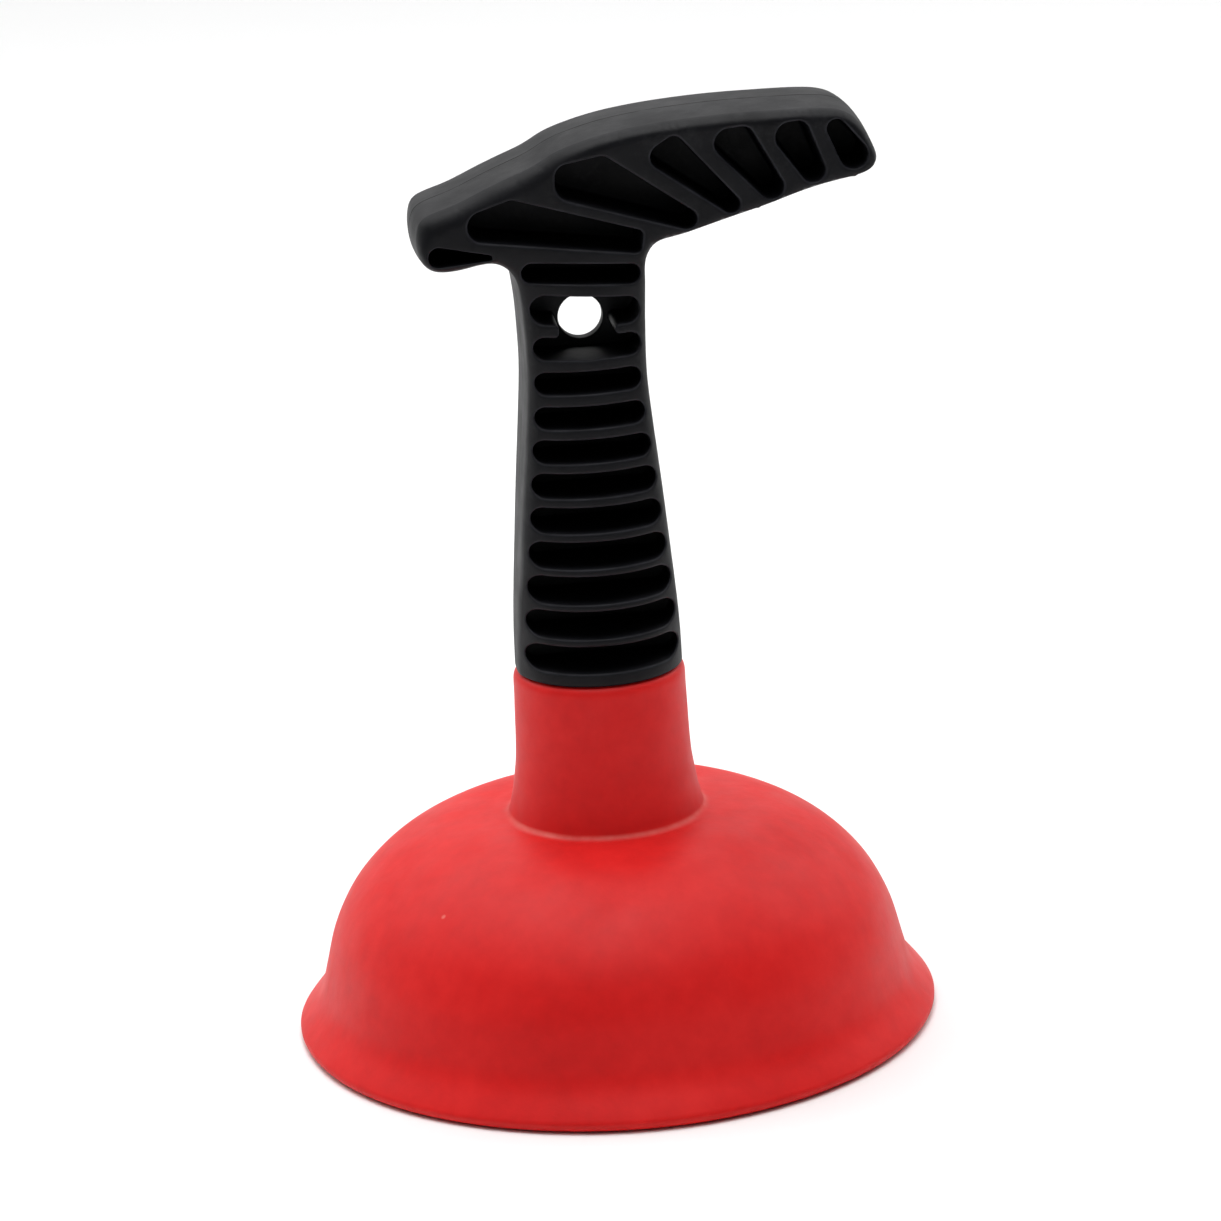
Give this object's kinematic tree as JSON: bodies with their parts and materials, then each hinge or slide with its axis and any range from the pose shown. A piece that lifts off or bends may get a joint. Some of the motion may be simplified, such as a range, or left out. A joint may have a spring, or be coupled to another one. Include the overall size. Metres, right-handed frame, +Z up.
{
  "type": "sink plunger",
  "caption": "Small force-cup plunger: flared red rubber cup with a socket neck, on a black ribbed T-handle with a hanging hole.",
  "frame": {"origin": "centre of the plane that the cup's lip stands on", "axes": "+Z up along the stem, +X along the grip towards its long arm, +Y along the hanging hole; the part is mirror-symmetric about the XZ plane"},
  "size_m": [0.11, 0.11, 0.1583],
  "materials": {
    "black_plastic": "satin injection-moulded polypropylene with a fine grain",
    "red_rubber": "matte-satin moulded rubber"
  },
  "bodies": {
    "bell": {"cup_bell": "red_rubber"},
    "handle": {"t_handle": "black_plastic", "cup_neck": "red_rubber"}
  },
  "joints": [
    {"name": "plunge_stroke", "type": "slide", "parent": "bell", "child": "handle", "axis": [0, 0, -1], "range_m": [0, 0.025], "stiffness_N_per_m": 2000, "deforming": ["cup_bell"]}
  ]
}
